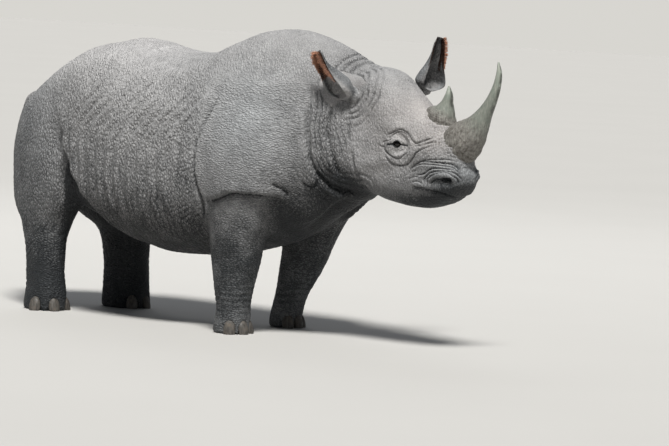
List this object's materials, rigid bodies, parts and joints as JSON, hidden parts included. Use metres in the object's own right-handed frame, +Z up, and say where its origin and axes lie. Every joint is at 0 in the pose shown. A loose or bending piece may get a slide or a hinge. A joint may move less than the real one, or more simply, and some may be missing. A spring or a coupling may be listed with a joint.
{
  "type": "black rhinoceros, life-size standing model",
  "caption": "Life-size still model of a standing adult black rhinoceros, its horned head held up and its ears turned different ways, resting on flat soles.",
  "frame": {"origin": "on the floor under the middle of the whole animal's box", "axes": "+X the way the animal faces, +Y its left, +Z up"},
  "size_m": [3.163, 0.912, 1.5016],
  "materials": {
    "hide": "grey, thick folded hide with fine cracked wrinkles, matt with a dusty bloom",
    "horn": "fibrous keratin, rough and brown-grey at the base, smoother and greenish grey to the tip",
    "nail": "worn dark keratin",
    "eye": "wet, near black with a dark brown iris",
    "bristle": "coarse black bristle"
  },
  "bodies": {
    "root": {"ear_left": "hide", "ear_right": "hide", "eye_left": "eye", "eye_right": "eye", "forefoot_left": "hide", "forefoot_right": "hide", "foreleg_left": "hide", "foreleg_right": "hide", "head": "hide", "hindfoot_left": "hide", "hindfoot_right": "hide", "hindleg_left": "hide", "hindleg_right": "hide", "horn_front": "horn", "horn_rear": "horn", "lower_jaw": "hide", "nail_forefoot_left_1": "nail", "nail_forefoot_left_2": "nail", "nail_forefoot_left_3": "nail", "nail_forefoot_right_1": "nail", "nail_forefoot_right_2": "nail", "nail_forefoot_right_3": "nail", "nail_hindfoot_left_1": "nail", "nail_hindfoot_left_2": "nail", "nail_hindfoot_left_3": "nail", "nail_hindfoot_right_1": "nail", "nail_hindfoot_right_2": "nail", "nail_hindfoot_right_3": "nail", "neck": "hide", "tail": "hide", "tail_tuft": "bristle", "trunk": "hide"}
  },
  "joints": []
}
